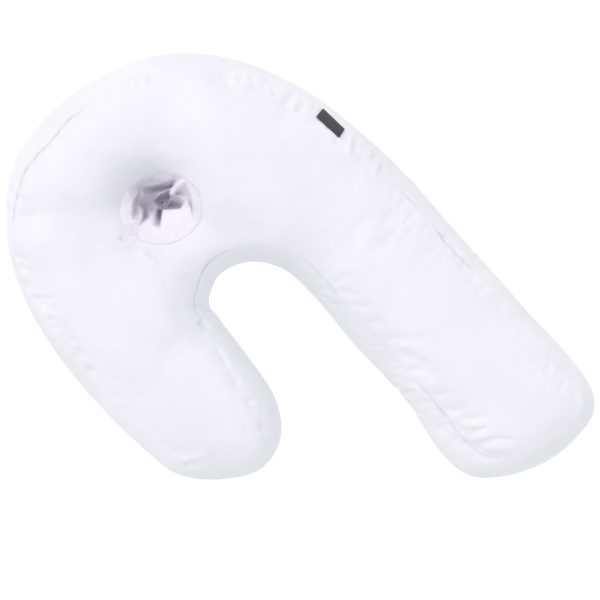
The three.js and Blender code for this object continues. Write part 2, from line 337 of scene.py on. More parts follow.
def even_out(values, triangles, rounds, held=()):
    """Averages a mesh's values with their neighbours, a number of times. Held ones stay."""
    a = triangles.ravel()
    b = np.roll(triangles, 1, axis=1).ravel()
    count = np.bincount(a, minlength=len(values)) + np.bincount(b, minlength=len(values))
    values = values.astype(float)
    held = np.asarray(held, int)
    for _ in range(rounds):
        total = [np.bincount(a, v[b], len(v)) + np.bincount(b, v[a], len(v)) for v in values.T]
        mean = np.stack(total, 1) / count[:, None]
        mean[held] = values[held]
        values = mean
    return values


def fill_panel(flat, triangles, side):
    """The filled place of a panel's points. side is 1 for the face and -1 for the back."""
    near, away = nearest_on(flat, flat_plan)
    half = np.interp(thick[near], [LEG_THICK, HEAD_THICK], CROWN_REACH)
    for x, y, reach in FEET:
        half += FOOT_ROUND * np.exp(-(away_in(flat, (x, y), reach) ** 2))
    rise = 1 - (1 - np.minimum(away / half, 1)) ** CROWN_ROUND
    drawn = CROWN_TAKE_UP * np.maximum(0, 1 - away / half)
    height = mid_height[near] + side * (seam_rise[near] / 2 + crown_rise[near] * rise)
    moved = np.column_stack([-normal[near] * drawn[:, None], height])
    moved = even_out(moved, triangles, CROWN_ROUNDS, held=np.arange(RING))
    filled = np.column_stack([flat + moved[:, :2], moved[:, 2]])
    if side > 0:
        filled[:, 2] -= dip_at(FACE_DIP, filled) + dip_at(CROOK_DIP, filled)
        filled[:, 2] -= rim_pull_at(filled)
    else:
        filled[:, 2] = np.maximum(filled[:, 2], 0) + dip_at(BACK_DIP, filled)
    return filled


face_full = fill_panel(face_flat, face_tri, 1)
back_full = fill_panel(back_flat, back_tri, -1)
print("face panel stands up to", round(float(face_full[:, 2].max())), "mm high")

# %% [markdown]
# The side band is a strip of rows between the two seams. Filled, it bows out to the widest line.
# The well's wall closes the case inside, behind the lining: an hourglass from rim to rim.

# %% Rows of the band and of the well's wall
BAND_ROWS = 40
WALL_ROWS = 12
WELL_THROAT = 0.26  # size of the wall's narrowest ring, as a share of the mouth
WELL_THROAT_AT = 0.42  # share of the way from the back to the face
WELL_FLARE = 0.5  # below 1, the wall widens quickly away from its throat

band_v = np.linspace(1, -1, BAND_ROWS + 1)[1:-1]
band_flat = [np.column_stack([flat_plan, np.full(RING, v * BAND_WIDTH / 2)]) for v in band_v]
band_full = []
for v in band_v:
    height = face_full[:RING, 2] * (1 + v) / 2 + back_full[:RING, 2] * (1 - v) / 2
    band_full.append(np.column_stack([seam_plan + normal * (inset * (1 - v**2))[:, None], height]))


def well_flare(share):
    """The well's size at a height share, as a share of its mouth."""
    up = share > WELL_THROAT_AT
    from_throat = np.where(up, share - WELL_THROAT_AT, WELL_THROAT_AT - share)
    from_throat = from_throat / np.where(up, 1 - WELL_THROAT_AT, WELL_THROAT_AT)
    return WELL_THROAT + (1 - WELL_THROAT) * from_throat**WELL_FLARE


rim_face = face_full[RING : RING + WELL_AROUND]
rim_back = back_full[RING : RING + WELL_AROUND]
wall_full = []
for k in range(1, WALL_ROWS):
    share = 1 - k / WALL_ROWS
    height = rim_back[:, 2] + (rim_face[:, 2] - rim_back[:, 2]) * share
    wall_full.append(np.column_stack([well_oval(float(well_flare(share))), height]))

# %% Join the pieces into one closed case
face_count, back_count = len(face_flat), len(back_flat)
face_lifted = np.column_stack([face_flat, np.full(face_count, BAND_WIDTH / 2)])
back_lowered = np.column_stack([back_flat, np.full(back_count, -BAND_WIDTH / 2)])
flat_points = np.vstack([face_lifted, back_lowered] + band_flat + wall_full)
full_points = np.vstack([face_full, back_full] + band_full + wall_full)
band_start = face_count + back_count
wall_start = band_start + RING * len(band_v)


def strip(above, below):
    """Triangles between two rings of points, each given as a list of vertex numbers."""
    a, b = np.asarray(above), np.asarray(below)
    c, d = np.roll(b, -1), np.roll(a, -1)
    return np.vstack([np.column_stack([a, d, c]), np.column_stack([a, c, b])])


ring = np.arange(RING)
around = np.arange(WELL_AROUND)
band_rings = [ring] + [band_start + RING * k + ring for k in range(len(band_v))] + [face_count + ring]
wall_rings = [RING + around] + [wall_start + WELL_AROUND * k + around for k in range(len(wall_full))]
wall_rings += [face_count + RING + around]
band_tri = np.vstack([strip(a, b) for a, b in zip(band_rings, band_rings[1:])])
wall_tri = np.vstack([strip(a, b) for a, b in zip(wall_rings, wall_rings[1:])])
case_tri = np.vstack([face_tri, face_count + back_tri[:, ::-1], band_tri, wall_tri])
BAND = 2  # the band's number in part_of, which says which piece each triangle belongs to
part_of = np.repeat(range(4), [len(face_tri), len(back_tri), len(band_tri), len(wall_tri)])
print("case:", len(full_points), "points,", len(case_tri), "triangles")


# %% Helpers to make a mesh object
def new_object(name, data):
    """Makes an object and puts it in the scene."""
    made = bpy.data.objects.new(name, data)
    bpy.context.scene.collection.objects.link(made)
    return made


def mesh_object(name, points, triangles):
    """A mesh object from points in millimetres."""
    mesh = bpy.data.meshes.new(name)
    mesh.from_pydata((np.asarray(points) * MM).tolist(), [], np.asarray(triangles).tolist())
    mesh.update()
    return new_object(name, mesh)


def set_points(piece, points):
    """Moves the vertices of a mesh object to points in millimetres."""
    piece.data.vertices.foreach_set("co", (points * MM).ravel())
    piece.data.update()


def seen_points(piece):
    """The vertices of a mesh object with its modifiers worked out, in millimetres."""
    shown = piece.evaluated_get(bpy.context.evaluated_depsgraph_get()).data
    flat = np.empty(len(shown.vertices) * 3)
    shown.vertices.foreach_get("co", flat)
    return flat.reshape(-1, 3) / MM


case = mesh_object("pillow_case", full_points, case_tri)

# %% [markdown]
# ## Settle the case
#
# The cloth simulation does what stuffing does to a sewn case. Its rest lengths are those of the
# flat pattern. The seams shrink by a few per cent, because a machine seam draws up as it is sewn,
# and pressure inside holds the cloth taut everywhere else, so the spare cloth has to stand up in
# small puckers across the seams. Gravity is off: fibre holds a pillow's shape better than air
# would. The well's wall is pinned, because the lining ties it.
#
# The simulation also lets the whole case swell and drift. That slow part of the movement is
# worked out by smoothing it over the mesh, and most of it is taken away again, which leaves the
# puckers on the measured form.
#
# Stuffing is never even, so the puckers are kept in full on some stretches and nearly pulled
# smooth on others: a slow noise sets their share, and some calm and lively places are listed.

# %% How much of the puckers stays, and where
PUCKER_SHARE = (0.62, 0.9)  # mean, and how much the slow noise changes it
PUCKER_LEAST = 0.2
PUCKER_NOISE = 75.0  # size of its patches
PUCKER_PLACES = [  # (x, y, reach, share of the puckers kept, above 1 where they stand higher)
    (-60, 10, 80, 0.25),
    (-10, 40, 62, 0.4),
    (50, -38, 46, 1.7),
    (110, -112, 46, 1.3),
    (-112, -105, 62, 0.3),
    (-170, 120, 110, 0.35),
    (60, 90, 70, 0.6),
    (200, -90, 60, 0.6),
    (300, -190, 50, 0.5),
    (260, -240, 45, 0.5),
    (-80, -230, 50, 0.5),
    (-335, 0, 60, 0.6),
    (-295, -95, 70, 0.45),
    (-225, -185, 60, 0.5),
    (-205, 215, 55, 0.5),
    (270, -60, 60, 0.6),
]


def pucker_share(points):
    """The share of the puckers that is kept at each point."""
    slow = np.array([noise.noise(tuple(p / PUCKER_NOISE)) for p in points])
    share = np.clip(PUCKER_SHARE[0] + PUCKER_SHARE[1] * slow, PUCKER_LEAST, 1.0)
    for x, y, reach, kept in PUCKER_PLACES:
        share *= 1 + (kept - 1) * np.exp(-(away_in(points, (x, y), reach) ** 4))
    return share[:, None]


# %% Settle the case with a cloth simulation
SETTLE_FRAMES = 14
SEAM_SHRINK = 0.05
INNER_PRESSURE = 16.0
CLOTH_STRETCH = 15.0
CLOTH_SHEAR = 5.0
CLOTH_BEND = 40.0
DRIFT_ROUNDS = 160  # smoothing that leaves only the slow movement
DRIFT_KEPT = 0.15

seam_rows = np.concatenate([band_rings[0], band_rings[-1]])
wall_rows = np.unique(np.concatenate(wall_rings))


def vertex_group(piece, name, members):
    """Makes a vertex group with full weight and returns its name."""
    made = piece.vertex_groups.new(name=name)
    made.add([int(i) for i in members], 1.0, "REPLACE")
    return name


def settle(piece, flat):
    """Runs the cloth simulation and returns the settled places, in millimetres."""
    piece.shape_key_add(name="filled")
    cut = piece.shape_key_add(name="flat pattern")
    cut.data.foreach_set("co", (flat * MM).ravel())
    cut.value = 0
    modifier = piece.modifiers.new("settle", "CLOTH")
    cloth = modifier.settings
    cloth.rest_shape_key = cut
    cloth.effector_weights.gravity = 0
    cloth.use_pressure = True
    cloth.uniform_pressure_force = INNER_PRESSURE
    cloth.quality = 3
    cloth.mass = 0.1
    cloth.tension_stiffness = CLOTH_STRETCH
    cloth.compression_stiffness = CLOTH_STRETCH
    cloth.shear_stiffness = CLOTH_SHEAR
    cloth.bending_stiffness = CLOTH_BEND
    cloth.vertex_group_mass = vertex_group(piece, "pinned", wall_rows)
    cloth.vertex_group_shrink = vertex_group(piece, "seams", seam_rows)
    cloth.shrink_max = SEAM_SHRINK
    modifier.collision_settings.use_collision = False
    for step in range(1, SETTLE_FRAMES + 1):
        bpy.context.scene.frame_set(step)
    settled = seen_points(piece)
    piece.modifiers.remove(modifier)
    piece.shape_key_clear()
    piece.vertex_groups.clear()
    bpy.context.scene.frame_set(1)
    return settled


shaped = full_points
moved = settle(case, flat_points) - full_points
drift = even_out(moved, case_tri, DRIFT_ROUNDS)
shaped = full_points + pucker_share(full_points) * (moved - drift) + DRIFT_KEPT * drift
print("settled by up to", round(float(np.abs(moved).max()), 1), "mm")
print("puckers up to", round(float(np.abs(moved - drift).max()), 1), "mm")

# %% [markdown]
# ## The main creases
#
# A simulation gives the right kind of pucker but not this pillow's own. The ones that catch the
# eye are listed one by one, each with its own depth, width and line. A trough has a positive depth
# and a ridge a negative one. Each fades out at both ends, and its sides are a little sharper at
# the bottom than a bell curve, as a pulled fold in firm cotton is. The first group is not folds
# but the broad unevenness of the stuffing, pressed in by the same function.

# %% The table of creases
# (depth, width, then x and y of each point along it), in millimetres, seen from above
CREASES = [
    # broad hollows and swellings, where the stuffing lies unevenly
    (9.5, 19, -342, 62, -300, 59, -255, 56, -212, 44),
    (-4.0, 10, -328, 32, -268, 30, -222, 16, -206, 2),
    (-2.5, 20, -330, 18, -285, 12, -240, 8),
    (3.0, 26, -160, 200, -158, 165, -160, 125),
    (-8.0, 52, -112, 205, -95, 140, -84, 80, -76, 40),
    (-4.5, 40, 25, 60, 105, -15, 185, -95, 240, -155),
    (-3.5, 26, -178, 15, -166, -40, -148, -95),
    (3.0, 24, -60, 215, -30, 190, 0, 170),
    (-2.5, 30, 30, -10, 90, -60, 160, -120, 205, -165),
    (2.5, 26, 55, 95, 110, 50, 160, 5, 215, -50),
    # the head, outer side
    (3.0, 4.5, -260, 188, -264, 180, -269, 174),
    (2.6, 4.0, -274, 160, -279, 153, -284, 148),
    (-1.8, 4, -269, 159, -273, 151, -277, 144),
    (2.6, 4.0, -310, 119, -310, 113, -309, 105),
    (2.6, 4.0, -330, 82, -329, 76, -326, 68),
    (1.6, 9, -327, 40, -292, 36, -252, 29, -211, 23),
    (3.4, 4.5, -336, 59, -326, 57, -310, 56),
    (3.2, 4.5, -338, 13, -329, 9, -316, 4),
    (2.6, 4.5, -314, -44, -303, -39, -288, -41),
    (2.2, 4.5, -297, -79, -287, -73, -272, -76),
    # round the rim of the ear well
    (3.6, 3.4, -213, 33, -205, 32, -198, 36),
    (3.2, 3.2, -205, 22, -197, 23, -189, 28),
    (-1.8, 3.4, -208, 28, -199, 28, -192, 32),
    (2.6, 3.4, -182, 15, -170, 12, -157, 16),
    (-1.8, 4, -190, 16, -178, 7, -166, 2),
    # the crown
    (1.2, 3.2, -224, 204, -224, 194),
    (2.2, 3.5, -204, 216, -203, 196),
    (2.2, 3.5, -190, 220, -189, 203),
    (2.2, 3.5, -176, 227, -176, 208),
    (1.5, 3.5, -166, 228, -165, 214),
    (-1.2, 3, -197, 216, -197, 198),
    (-1.2, 3, -183, 224, -182, 205),
    (-2.4, 15, -124, 235, -111, 203, -100, 168, -88, 116),
    (2.6, 18, -102, 224, -84, 197, -65, 175),
    (1.8, 4, -88, 228, -87, 217, -84, 205),
    (1.5, 4, -74, 226, -69, 210),
    (1.8, 4, -60, 224, -57, 214, -51, 204),
    (1.4, 4, -46, 218, -40, 203),
    (1.7, 4, -36, 214, -28, 197),
    # beside the label
    (3.2, 5.5, -6, 208, -14, 195, -22, 184),
    (-2.6, 6, -2, 195, -7, 188, -13, 181),
    (2.0, 4, -1, 187, -3, 177),
    (-2.0, 4, 2, 201, 12, 184),
    (2.6, 4, 52, 153, 53, 145),
    (2.4, 4, 45, 145, 37, 141),
    (-2.8, 3.8, 57, 156, 56, 143, 55, 125),
    (2.0, 4, 64, 152, 62, 130),
    (-1.8, 6, 73, 137, 82, 127),
    (1.7, 5, 66, 132, 73, 119),
    (-2.6, 3.5, 90, 123, 88, 114, 83, 105),
    (2.0, 4, 96, 120, 92, 107),
    (1.3, 8, 46, 117, 74, 109),
    # the long leg, outer side
    (1.3, 4, 112, 87, 102, 79),
    (1.5, 4, 124, 76, 110, 67),
    (1.3, 4, 136, 65, 124, 58),
    (1.5, 4, 152, 50, 141, 43),
    (4.6, 3.2, 165, 37, 174, 29, 181, 21, 190, 11),
    (-1.6, 5, 161, 29, 169, 21, 180, 9),
    (2.0, 5, 193, 3, 186, -4),
    (1.6, 5, 205, -12, 195, -21),
    (2.2, 5, 220, -20, 211, -29, 201, -34),
    (-1.6, 5, 223, -32, 213, -40),
    (1.8, 3, 336, -150, 339, -166),
    # the short leg, outer side
    (2.3, 4, -332, -1, -319, -6, -313, -14),
    (-1.6, 4, -332, -9, -320, -16),
    (1.9, 4, -325, -25, -311, -30),
    (1.7, 4, -319, -37, -305, -42),
    (2.2, 5, -309, -45, -295, -49, -284, -56),
    (-1.5, 5, -305, -54, -290, -61),
    (1.9, 5, -299, -62, -284, -67),
    (2.0, 6, -283, -80, -262, -91),
    (2.0, 6, -265, -98, -252, -109),
    (-1.5, 5, -259, -108, -244, -119),
    (2.1, 5, -252, -120, -238, -128),
    # the long leg, inner side
    (1.9, 5, 43, -33, 58, -33, 71, -38),
    (1.9, 5, 56, -47, 70, -47, 82, -52),
    (2.3, 5, 74, -67, 88, -66, 100, -72),
    (2.6, 6, 94, -86, 119, -84, 147, -85),
    (-1.7, 6, 100, -95, 118, -93, 138, -98),
    (2.4, 6, 110, -102, 131, -107, 157, -119),
    (1.9, 6, 125, -122, 143, -123, 161, -130),
    (-1.5, 6, 136, -134, 161, -139),
    # the long leg, foot
    (1.8, 4, 157, -153, 168, -152),
    (2.7, 3.6, 172, -175, 180, -171, 190, -171),
    (3.2, 4.2, 180, -185, 193, -181, 205, -181, 220, -172),
    (-2.0, 4, 186, -189, 202, -187, 218, -183),
    (3.2, 4.2, 193, -203, 205, -195, 220, -189),
    (-2.0, 4, 197, -206, 208, -200, 223, -200),
    (2.8, 4.6, 201, -214, 212, -209, 230, -204, 255, -207),
    (-2.0, 5, 204, -218, 222, -215, 234, -216, 247, -223),
    (2.4, 4, 166, -174, 165, -189, 166, -202),
    (2.4, 3.5, 183, -197, 183, -208, 182, -218),
    (-1.8, 3.2, 189, -197, 189, -208),
    # the crook and the short leg, inner side
    (3.2, 4.5, -129, -45, -117, -49, -106, -55),
    (-2.0, 4, -122, -57, -109, -63),
    (4.2, 5, -121, -63, -114, -69, -108, -74),
    (2.0, 5, -102, -92, -93, -106, -86, -120),
    (1.9, 5, -85, -126, -79, -134, -73, -141),
    (2.3, 4, -62, -156, -62, -165),
    (2.4, 4, -51, -189, -46, -192, -38, -197),
    (-1.7, 3.2, -58, -199, -44, -202, -29, -202),
    # the short leg, foot
    (-2.2, 4, -144, -230, -122, -225, -108, -221),
    (2.6, 3.6, -142, -237, -132, -236, -122, -235),
]


# %% How deep a crease is, and which way is out
CREASE_SHARP = 1.6  # 2 is a bell curve, and less makes the bottom sharper
CREASE_FADE = 0.3  # share of its length over which each end fades
CREASE_END = 0.15  # how much of it is left right at its end
CREASE_SAMPLES = 12  # points for each point of its line


def corner_normals(points, triangles):
    """A unit normal for each point, weighted by the faces round it."""
    a, b, c = (points[triangles[:, k]] for k in range(3))
    face = np.cross(b - a, c - a)
    total = np.zeros_like(points)
    for k in range(3):
        for axis in range(3):
            total[:, axis] += np.bincount(triangles[:, k], face[:, axis], len(points))
    return total / np.maximum(np.linalg.norm(total, axis=1), 1e-9)[:, None]


def outward(rounds):
    """The case's unit normals, averaged so that neighbouring points move together."""
    return even_out(corner_normals(shaped, case_tri), case_tri, rounds)


def crease_at(plan, depth, width, line):
    """How deep one crease is at each point, seen from above."""
    if len(line) > 2:
        line = curve_through(line, CREASE_SAMPLES * len(line))
    else:
        line = np.linspace(*line, CREASE_SAMPLES)
    run = np.append(0, np.cumsum(np.linalg.norm(np.diff(line, axis=0), axis=1)))
    reach = 3 * width
    box_min, box_max = line.min(0) - reach, line.max(0) + reach
    found = np.zeros(len(plan))
    close = np.flatnonzero(((plan > box_min) & (plan < box_max)).all(1))
    if not len(close):
        return found
    at, away = nearest_on(plan[close], line)
    along = run[at] / run[-1]
    fade = np.clip(np.minimum(along, 1 - along) / CREASE_FADE + CREASE_END, 0, 1)
    found[close] = depth * np.exp(-((away / width) ** CREASE_SHARP)) * (3 * fade**2 - 2 * fade**3)
    return found


# %% Press the creases into the case
CREASED_FROM = 0.6  # they reach down the side this far, as a share of half the height
CREASE_ROUNDS = 4  # smoothing of the direction in which a crease moves the cloth

upper = shaped[:, 2] > mid_height.min() * CREASED_FROM
upper[wall_rows[~np.isin(wall_rows, wall_rings[0])]] = False
sunk = np.zeros(len(shaped))
for depth, width, *line in CREASES:
    line = np.reshape(line, (-1, 2)).astype(float)
    sunk[upper] += crease_at(shaped[upper, :2], depth, width, line)
shaped = shaped - outward(CREASE_ROUNDS) * sunk[:, None]
print("creases:", len(CREASES), "deepest", round(float(sunk.max()), 1), "mm")

# %% [markdown]
# ## The seams
#
# Where two pieces of cloth are sewn together, the stuffing pushes both out but the thread holds
# the line itself in, so a filled seam lies in a narrow groove. Its depth varies a little from
# stitch to stitch. The bottom of the case is then pressed flat where it rests on the floor.

# %% Draw in the seams and press the bottom flat
SEAM_DRAW = 0.5  # depth of the groove everywhere
SEAM_OPENED = 1.0  # how much deeper it is where the stuffing strains the seam
SEAM_GROOVE = 4.0  # half width of the groove
SEAM_SHARP = 1.3  # 2 is a bell curve, and less makes the bottom sharper
SEAM_UNEVEN = 0.7  # how much the depth varies along the seam
SEAM_ROUNDS = 3  # smoothing of the direction in which the seam is drawn in
UNEVEN_SIZE = (12, 12, 40)  # how far apart the deep and shallow places lie, along x, y and z
NO_SEAM = 1e3  # the distance that stands for far from any seam
STRAINED = [  # where a face seam is strained: (x, y, reach, share)
    (-300, 140, 60, 1.0),
    (-338, 85, 45, 0.7),
    (-118, -12, 48, 0.9),
    (22, -22, 36, 0.5),
    (105, -110, 60, 0.25),
    (165, -175, 50, 0.45),
    (200, -222, 30, 0.6),
    (130, 78, 24, 0.4),
    (180, 28, 34, 0.9),
    (-52, -190, 22, 0.4),
]


def strain_at(points):
    """How strained the face seam is at each point, from 0 to 1."""
    total = np.zeros(len(points))
    for x, y, reach, share in STRAINED:
        total = np.maximum(total, share * np.exp(-(away_in(points, (x, y), reach) ** 4)))
    return total


flat_seam_gap = np.full(len(shaped), NO_SEAM)
flat_seam_gap[:face_count] = nearest_on(face_flat, flat_plan)[1]
flat_seam_gap[face_count:band_start] = nearest_on(back_flat, flat_plan)[1]
for k, v in enumerate(band_v):
    rows = band_start + RING * k + ring
    flat_seam_gap[rows] = BAND_WIDTH / 2 * (1 - abs(v))
uneven = np.array([noise.noise(tuple(p / UNEVEN_SIZE)) for p in shaped])
opened = strain_at(shaped) * (shaped[:, 2] > mid_height.mean())
depth = (SEAM_DRAW + SEAM_OPENED * opened) * (1 + SEAM_UNEVEN * uneven)
depth *= np.exp(-((flat_seam_gap / SEAM_GROOVE) ** SEAM_SHARP))
shaped = shaped - outward(SEAM_ROUNDS) * depth[:, None]
shaped[:, 2] = np.maximum(shaped[:, 2], 0)
set_points(case, shaped)
print("case:", np.round(shaped.min(0), 1), "to", np.round(shaped.max(0), 1))

# %% [markdown]
# ## The ear well's lining
#
# The well is a tube of the same cotton, sewn to the face panel and to the back panel and drawn
# together half way, so that from either side it looks like crumpled cloth that closes at depth.
# Thin cloth that is squeezed into a hole breaks into flat facets with sharp folds between them.
# So its face side is a table of fold corners, each with its depth below the rim, joined by fold
# lines. Between the corners the cloth is flat. The facets are then sampled on fine rings that run
# from the rim to the throat, and slightly evened out so that each fold gets its small radius.

# %% The lining's fold corners and fold lines
# (x, y, depth), in millimetres from the well's centre and down from its rim
FOLD_CORNERS = {
    # the left and upper wall, which falls away steeply under the rim
    "lip_top": (-36.6, 8.2, 9),
    "lip_low": (-37.9, -7.3, 8),
    "lip_top_foot": (-33.5, 8.5, 22),
    "lip_low_foot": (-34.5, -5.0, 21),
    "wall_left": (-28.0, 25.0, 14),
    "wall_left_low": (-23.0, 17.0, 21),
    "wall_corner": (-16.0, 18.4, 27),
    "wall_top": (-15.2, 34.0, 10),
    "wall_mid": (-6.6, 30.0, 16),
    "wall_right": (6.0, 34.0, 12),
    "wall_foot": (-14.5, 23.5, 30),
    "wall_foot_right": (5.5, 26.5, 32),
    # a narrow leaf of cloth across the dark
    "leaf_low": (-13.5, 9.9, 32),
    "leaf_crest": (-3.2, 19.3, 19),
    "leaf_top": (7.0, 24.2, 20),
    "leaf_under": (4.0, 17.0, 40),
    "leaf_under_low": (-7.0, 12.0, 44),
    # the sharp fold from the upper right of the rim
    "blade_top": (22.5, 35.5, 1),
    "blade": (15.0, 28.5, 5),
    "blade_end": (6.8, 18.2, 15),
    "blade_top_edge": (27.0, 32.0, 2),
    "blade_edge": (19.0, 25.2, 6),
    "blade_end_edge": (10.2, 15.8, 17),
    "blade_left": (11.2, 31.5, 24),
    "blade_left_end": (8.0, 26.0, 33),
    "blade_right": (24.5, 24.0, 17),
    "blade_right_low": (15.5, 18.6, 28),
    "blade_right_rim": (31.0, 22.5, 7),
    # small facets right of the throat
    "chip_left": (8.8, 13.3, 27),
    "chip_top": (16.8, 16.2, 22),
    "chip_low": (17.0, 5.8, 35),
    "chip_right": (24.5, 11.4, 20),
    "chip_foot": (9.0, 5.0, 42),
    # the crease that runs down the right side
    "tuck_top": (19.0, 18.6, 27),
    "tuck": (30.2, 13.6, 25),
    "tuck_low": (32.8, 5.5, 23),
    "tuck_mid": (36.6, -9.0, 9),
    "tuck_end": (40.2, -21.5, 2),
    "tuck_left": (29.5, 8.5, 9),
    "tuck_left_low": (31.4, 2.0, 8),
    "tuck_left_mid": (35.1, -9.6, 4),
    "tuck_right": (33.5, 15.0, 4),
    "tuck_right_low": (35.6, 5.0, 4),
    "tuck_right_mid": (38.2, -8.5, 4),
    "flank": (42.5, -4.0, 2),
    # the large bright fold, lower right
    "fold_left": (-0.6, -0.9, 15),
    "fold_crest": (19.1, -0.9, 9),
    "fold_right": (27.5, 9.0, 8),
    "fold_left_foot": (0.0, 2.0, 40),
    "fold_crest_foot": (19.5, 2.2, 34),
    "fold_belly": (12.0, -15.0, 4),
    "fold_belly_right": (29.0, -10.0, 4),
    "fold_low": (-2.6, -22.5, 6),
    # the dark notch beside it, and the light tongue left of the notch
    "notch": (-6.6, -20.0, 22),
    "notch_deep": (-6.0, -4.0, 42),
    "tongue_tip": (-10.8, -9.5, 17),
    "tongue_low": (-11.5, -20.0, 8),
    "tongue_left": (-15.2, -10.7, 13),
    "tongue_rim": (-24.0, -18.0, 7),
    "chip_small": (-8.5, 2.0, 30),
    "chip_small_right": (-2.5, 0.5, 33),
    # the light facet, lower left, and the dark wedge beside it
    "wedge_tip": (-28.5, -21.5, 13),
    "wedge": (-22.5, -9.0, 30),
    "wedge_top": (-22.0, 3.0, 34),
    "cheek_top": (-26.3, -3.0, 15),
    "cheek_low": (-26.4, -15.0, 10),
    "cheek": (-36.0, -14.5, 5),
}
# Each fold runs from corner to corner.
FOLD_LINES = [
    "lip_top lip_low",
    "lip_top_foot lip_low_foot",
    "lip_top wall_left",
    "lip_top_foot wall_left_low wall_corner wall_foot wall_foot_right",
    "wall_left wall_mid wall_right",
    "leaf_low leaf_crest leaf_top",
    "leaf_under_low leaf_under",
    "blade_top blade blade_end",
    "blade_top_edge blade_edge blade_end_edge",
    "blade_left blade_left_end",
    "blade_top blade_right blade_right_low",
    "chip_left chip_top chip_low chip_right",
    "tuck_top tuck tuck_low tuck_mid tuck_end",
    "tuck_right tuck_right_low tuck_right_mid",
    "tuck_left tuck_left_low tuck_left_mid",
    "fold_left fold_crest fold_right",
    "fold_left_foot fold_crest_foot",
    "fold_left fold_low",
    "notch notch_deep",
    "tongue_tip tongue_low",
    "tongue_left tongue_rim",
    "tongue_tip tongue_left",
    "wedge_tip wedge wedge_top",
    "cheek_top cheek_low wedge_tip",
    "cheek_top lip_low_foot",
]

# %% Depth of the folded cloth at any place in the mouth
FACET_RIM = 24  # corners along the rim
FACET_SPREAD = 1.01  # they lie just outside it, so that the facets cover the whole mouth
TINY = 1e-6  # slack for rounding

rim_turn = np.arange(FACET_RIM) * 2 * math.pi / FACET_RIM
rim_corners = FACET_SPREAD * WELL_MOUTH * np.column_stack([np.cos(rim_turn), np.sin(rim_turn)])
corner_plan = np.vstack([rim_corners, [c[:2] for c in FOLD_CORNERS.values()]])
corner_depth = np.append(np.zeros(FACET_RIM), [c[2] for c in FOLD_CORNERS.values()])
corner_number = {name: FACET_RIM + k for k, name in enumerate(FOLD_CORNERS)}
fold_edges = []
for fold in FOLD_LINES:
    path = [corner_number[name] for name in fold.split()]
    fold_edges += list(zip(path, path[1:]))
fold_edges += [(k, (k + 1) % FACET_RIM) for k in range(FACET_RIM)]
laid = geometry.delaunay_2d_cdt([tuple(p) for p in corner_plan], fold_edges, [], 0, JOIN_GAP)
facet_plan = np.array([tuple(v) for v in laid[0]])
facet_depth = np.array([corner_depth[sources].mean() if sources else 0 for sources in laid[3]])
facets = np.array(laid[2])
print("lining facets:", len(facets), "from", len(FOLD_CORNERS), "corners")


def facet_height(plan):
    """Depth below the rim at each place, flat over each facet."""
    depth = np.zeros(len(plan))
    for a, b, c in facets:
        pa, pb, pc = facet_plan[[a, b, c]]
        area = np.cross(pb - pa, pc - pa)
        if abs(area) < TINY:
            continue
        u = np.cross(pc - pb, plan - pb) / area
        v = np.cross(pa - pc, plan - pc) / area
        w = 1 - u - v
        hit = (u >= -TINY) & (v >= -TINY) & (w >= -TINY)
        depth[hit] = (u * facet_depth[a] + v * facet_depth[b] + w * facet_depth[c])[hit]
    return depth


# %% [markdown]
# From the back the well is plainer: the same tube flares out below the throat in loose radial
# folds, deep near the throat and gone at the rim.

# %% Sizes of the lining
LINING_AROUND = 240
FACE_RINGS = 60
THROAT_RINGS = 8
BACK_RINGS = 34
RIM_LIFT = 0.5
RIM_LAP = 0.9  # the lining's edge laps this far over the panel's edge
THROAT_PLACE = np.array([-4.0, 9.0])  # from the well's centre
THROAT_SIZE = np.array([0.45, 0.35])  # it is gathered tight
THROAT_DEPTH = (50.0, 74.0)  # its top and bottom, below the face rim
THROAT_SLANT = np.array([12.0, -9.0])  # it runs askew, so that nothing shows through
CRUMPLE = 1.0  # height of the small unevenness of the facets
CRUMPLE_SIZE = 7.0
BACK_SPREAD = 1.1  # above 1, the back tube stays narrow a little longer
BACK_DROP = 0.8  # below 1, it falls quickly at first
FOLD_GONE = 0.8  # 1 fades its folds evenly towards the rim, and less keeps them longer
FOLD_STARTS = 4  # they start in the first quarter of the way
BACK_FOLDS = [  # (degrees round, width in degrees, depth as a share of the radius)
    (12, 13, 0.3),
    (49, 11, 0.42),
    (88, 15, 0.26),
    (121, 10, 0.4),
    (158, 14, 0.34),
    (197, 12, 0.44),
    (236, 13, 0.28),
    (268, 10, 0.4),
    (303, 14, 0.36),
    (338, 11, 0.3),
]

# %% The lining's rings, from the face rim through the throat to the back rim
turn = np.arange(LINING_AROUND) * 2 * math.pi / LINING_AROUND
round_unit = np.column_stack([np.cos(turn), np.sin(turn)])


def rim_of(first):
    """The case's edge round the well, from its vertex number first, at the lining's spacing."""
    edge = shaped[first : first + WELL_AROUND]
    edge = np.vstack([edge, edge[:1]])
    at = np.arange(LINING_AROUND) * WELL_AROUND / LINING_AROUND
    rim = np.column_stack([np.interp(at, range(WELL_AROUND + 1), c) for c in edge.T])
    rim[:, :2] += RIM_LAP * round_unit
    return rim


